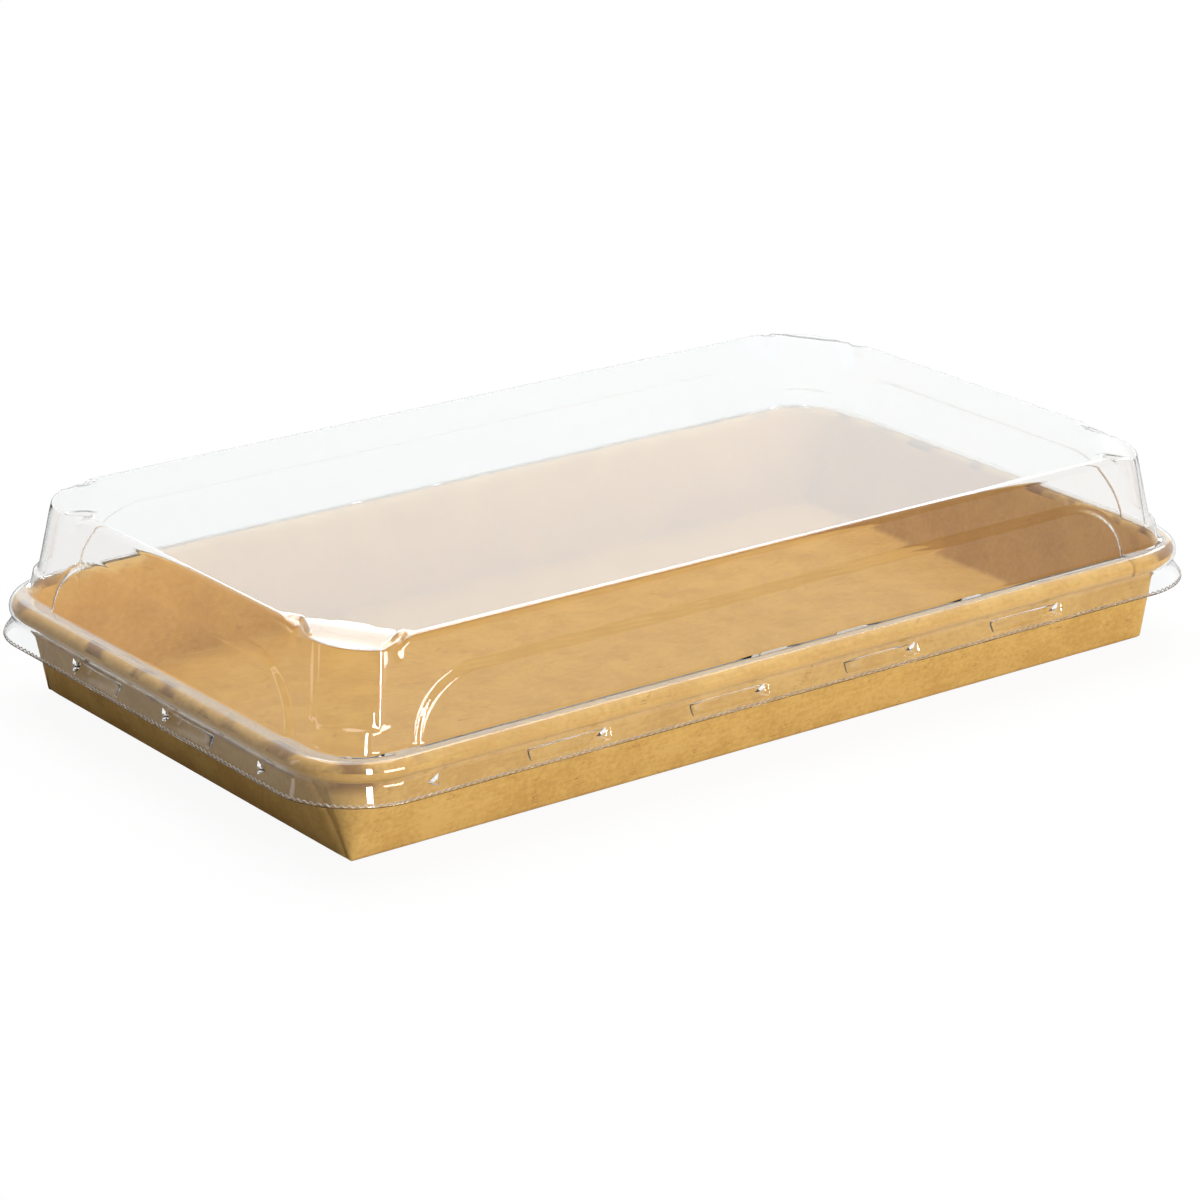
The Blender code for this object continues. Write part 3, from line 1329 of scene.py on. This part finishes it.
        tree.feed(lift.inputs[2], wave)
        move = tree.add("GeometryNodeSetPosition")
        tree.feed(move.inputs["Geometry"], fine.outputs["Curve"])
        tree.feed(move.inputs["Offset"], lift.outputs[0])
        section = tree.add("GeometryNodeCurvePrimitiveCircle")
        section.inputs["Resolution"].default_value = 6
        tree.feed(section.inputs["Radius"], tree.size("Edge radius", self.trim_radius))
        sweep = tree.add("GeometryNodeCurveToMesh")
        tree.feed(sweep.inputs["Curve"], move.outputs["Geometry"])
        tree.feed(sweep.inputs["Profile Curve"], section.outputs["Curve"])
        tree.finish(sweep.outputs["Mesh"], material)
        tree.put_on(piece)
        return settled(piece)

    def build_nibs(self, material: bpy.types.Material) -> bpy.types.Object:
        """Build the small three-sided nibs beside the dents, one instance for each.

        Args:
            material: The sheet's material.

        Returns:
            The nibs' object.
        """
        height = 0.5 * (self.dent_top + self.dent_bottom) + self.nib_lift
        lean = self.skirt_offset(height)
        mesh = bmesh.new()
        turn = mesh.verts.layers.float_vector.new("turn")
        for side in Side:
            half = (self.rim.half_width if side.is_long else self.rim.half_length) + lean
            for run in self.dents(side).nibs():
                x, y = side.place(run, half)
                vert = mesh.verts.new((x, y, height))
                along = Vector((*side.place(-1.0 if side.is_long else 1.0, 0.0), 0.0))
                across = Vector(side.outward())
                spin = Matrix((along, across.cross(along), across)).transposed().to_euler()
                vert[turn] = spin[:]
        data = bpy.data.meshes.new("lid_nibs")
        mesh.to_mesh(data)
        mesh.free()
        piece = add_piece("lid_nibs", data)
        tree = GeometryTree("place_nibs")
        cone = tree.add("GeometryNodeMeshCone")
        cone.inputs["Vertices"].default_value = 3
        tree.feed(cone.inputs["Radius Top"], tree.size("Nib crest", self.nib_crest))
        tree.feed(cone.inputs["Radius Bottom"], tree.size("Nib foot", self.nib_foot))
        tree.feed(cone.inputs["Depth"], tree.size("Nib rise", self.nib_rise))
        place = tree.add("GeometryNodeInstanceOnPoints")
        tree.feed(place.inputs["Points"], tree.start.outputs[0])
        tree.feed(place.inputs["Instance"], cone.outputs["Mesh"])
        tree.feed(place.inputs["Rotation"], tree.attribute("turn", "FLOAT_VECTOR"))
        tree.finish(place.outputs["Instances"], material)
        tree.put_on(piece)
        return settled(piece)


# ---------------------------------------------------------------- stage


@dataclass(frozen=True)
class Lamp:
    """A soft white lamp that faces the object and that gloss shows but the camera doesn't."""

    name: str
    spot: Point
    size: Plan
    power: float
    lights_board: bool = True

    def build(self) -> None:
        """Put the lamp in its place."""
        light = bpy.data.lights.new(self.name, "AREA")
        light.shape = "RECTANGLE"
        light.size, light.size_y = self.size
        light.energy = self.power
        lamp = bpy.data.objects.new(self.name, light)
        lamp.location = self.spot
        lamp.rotation_euler = (-Vector(self.spot)).to_track_quat("-Z", "Y").to_euler()
        lamp.visible_camera = False
        lamp.visible_transmission = False
        lamp.visible_diffuse = self.lights_board
        bpy.context.scene.collection.objects.link(lamp)


LAMPS = (
    Lamp("key", (0.15, -1.3, 0.16), (0.6, 0.5), 16.5),
    Lamp("back", (0.8, 1.05, 0.6), (1.6, 0.9), 3.3),
    Lamp("top", (0.2, 0.35, 1.45), (1.2, 1.2), 18.5),
    Lamp("front_strip", (-0.24, -0.42, 0.17), (0.05, 0.34), 3.2, lights_board=False),
    Lamp("side_strip", (-0.48, 0.19, 0.17), (0.05, 0.34), 0.12, lights_board=False),
    Lamp("edge_box", (0.75, 0.75, 1.2), (1.3, 1.3), 26.0, lights_board=False),
)


@dataclass
class Studio:
    """White floor and surroundings, dark on the left where gloss sees them, and the camera."""

    camera_place: Point = (-0.575683, -0.765826, 0.361346)
    camera_turn: Point = (radians(90.0 - 19.807), 0.0, radians(-36.886))
    lens: float = 127.5
    fill: float = 0.3
    floor_reflects: float = 0.4
    dark_side: float = 0.05
    bright_side: float = 0.85
    bright_floor: float = 0.6
    paper_white: float = 0.95
    paper_glow: float = 0.93

    def seen(self, tree: Tree) -> bpy.types.NodeSocket:
        """Whether a ray shows the surroundings to the camera, straight or through the sheet.

        Args:
            tree: The tree of the floor or the world.

        Returns:
            One for such a ray, and zero for a ray that gathers light on a surface.
        """
        path = tree.add("ShaderNodeLightPath")
        shown = tree.math("MAXIMUM", path.outputs["Is Camera Ray"], path.outputs["Is Transmission Ray"])
        direct = tree.math("LESS_THAN", path.outputs["Diffuse Depth"], 0.5)
        return tree.math("MULTIPLY", shown, direct)

    def make_world(self) -> None:
        """White where it is seen, and a soft fill where it lights."""
        world = bpy.data.worlds.new("studio")
        world.use_nodes = True
        bpy.context.scene.world = world
        tree = Tree(world.node_tree)
        back = world.node_tree.nodes["Background"]
        back.inputs["Color"].default_value = (1.0, 1.0, 1.0, 1.0)
        axes = tree.axes(tree.add("ShaderNodeTexCoord").outputs["Generated"])
        beyond = tree.math("ADD", axes[0], axes[1])
        mirrored = tree.ramp(beyond, 0.0, 1.1, self.dark_side, self.bright_side)
        glossy = tree.add("ShaderNodeLightPath").outputs["Is Glossy Ray"]
        bright = tree.ramp(glossy, 0.0, 1.0, self.fill, mirrored)
        tree.feed(back.inputs["Strength"], tree.math("MAXIMUM", bright, self.seen(tree)))

    def make_floor(self) -> None:
        """A pale floor that keeps the object's shadow."""
        mesh = bpy.data.meshes.new("floor")
        shape = bmesh.new()
        bmesh.ops.create_grid(shape, x_segments=1, y_segments=1, size=3.0)
        shape.to_mesh(mesh)
        shape.free()
        floor = add_piece("floor", mesh)
        floor.location.z = -0.05 * MM
        material = bpy.data.materials.new("floor_paper")
        material.use_nodes = True
        tree = Tree(material.node_tree)
        tree.tree.nodes.remove(tree.tree.nodes["Principled BSDF"])
        paper = tree.add("ShaderNodeBsdfDiffuse")
        shown = self.seen(tree)
        axes = tree.axes(tree.add("ShaderNodeTexCoord").outputs["Object"])
        # Painted shade: where reflections see it, the floor is darker towards the left and the back.
        across = tree.math("SUBTRACT", axes[0], axes[1])
        mirrored = tree.ramp(across, -0.3, 0.2, self.dark_side, self.bright_floor)
        glossy = tree.add("ShaderNodeLightPath").outputs["Is Glossy Ray"]
        dim = tree.ramp(glossy, 0.0, 1.0, self.floor_reflects, mirrored)
        white = tree.math("MULTIPLY", shown, self.paper_white)
        tree.feed(paper.inputs["Color"], tree.math("MAXIMUM", dim, white))
        glow = tree.add("ShaderNodeEmission")
        mix = tree.add("ShaderNodeMixShader")
        tree.feed(mix.inputs[0], tree.math("MULTIPLY", shown, self.paper_glow))
        tree.feed(mix.inputs[1], paper.outputs[0])
        tree.feed(mix.inputs[2], glow.outputs[0])
        tree.feed(tree.tree.nodes["Material Output"].inputs["Surface"], mix.outputs[0])
        mesh.materials.append(material)

    def make_camera(self) -> None:
        """Set up the camera."""
        view = bpy.data.cameras.new("camera")
        view.lens = self.lens
        view.sensor_width = 36.0
        camera = bpy.data.objects.new("camera", view)
        camera.location = self.camera_place
        camera.rotation_euler = self.camera_turn
        bpy.context.scene.collection.objects.link(camera)
        bpy.context.scene.camera = camera

    def build(self) -> None:
        """Build the whole stage."""
        bpy.context.scene.view_settings.view_transform = "Standard"
        self.make_world()
        self.make_floor()
        for lamp in LAMPS:
            lamp.build()
        self.make_camera()


# ---------------------------------------------------------------- putting it together


def place(piece: bpy.types.Object, node: str, slot: str) -> None:
    """Let a piece ride on the object and stand for a node.

    Args:
        piece: The finished piece.
        node: The node that it stands for.
        slot: Not used.
    """
    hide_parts(node)
    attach(piece, "root")
    LOG.info("%s: %d faces, for node %s", piece.name, len(piece.data.polygons), node)


def let_light_through(piece: bpy.types.Object) -> None:
    """Let lamp light reach the board through a clear piece, as a thin clear sheet does."""
    piece.visible_shadow = False
    piece.visible_diffuse = False


def main() -> None:
    """Build the tray, the lid and the stage."""
    logging.basicConfig(level=logging.INFO, format="%(name)s: %(message)s")
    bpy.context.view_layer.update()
    tray_low, tray_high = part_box("tray")
    lid_low, lid_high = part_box("lid")
    roll = BoardTray.roll
    rim = RimLine(tray_high.x - roll, tray_high.y - roll, tray_high.z - roll)

    lining = KraftBoard(
        "kraft_lining",
        pale=(0.67, 0.39, 0.095, 1.0),
        deep=(0.57, 0.31, 0.066, 1.0),
        speck_and_shade=(0.36, 0.18, 0.05, 1.0),
        roughness=0.55,
        gloss=0.05,
    )
    # The outer board's scorch is partly painted shade on the short sides' rim and on the wall top under the
    # roll.
    outside = KraftBoard(
        "kraft_outside",
        pale=(0.68, 0.42, 0.13, 1.0),
        deep=(0.55, 0.31, 0.082, 1.0),
        speck_and_shade=(0.2, 0.085, 0.02, 1.0),
        roughness=0.65,
        gloss=0.12,
        scorch_and_shade=0.85,
    )
    tray = BoardTray(rim, floor_length=232.0 * MM, floor_width=128.6 * MM)
    place(tray.build(lining.make(), outside.make()), "tray", "kraft_board")

    clear = ClearSheet("clear_sheet", (0.98, 0.99, 0.995, 1.0)).make()
    # Painted sheen: the flat top and ledge get a greyer, hazier sheet that stands partly for the light
    # reflected over them.
    flat = ClearSheet("clear_flat_top", (0.79, 0.82, 0.83, 1.0), clearness=0.82, unevenness=0.1).make()
    cut = ClearSheet("clear_cut_edge", (0.5, 0.45, 0.4, 1.0), roughness=0.3).make()
    skirt_reach = lid_high.x - rim.half_length
    lid = ClearLid(rim, top=lid_high.z, skirt_bottom=lid_low.z + 0.1 * MM, skirt_reach=skirt_reach)
    for piece in (lid.build_sheet(clear, flat), lid.build_trim(cut), lid.build_nibs(clear)):
        place(piece, "lid", "clear_sheet")
        let_light_through(piece)

    Studio().build()
    LOG.info("tray box %s to %s", tuple(tray_low), tuple(tray_high))


if __name__ == "__main__":
    main()
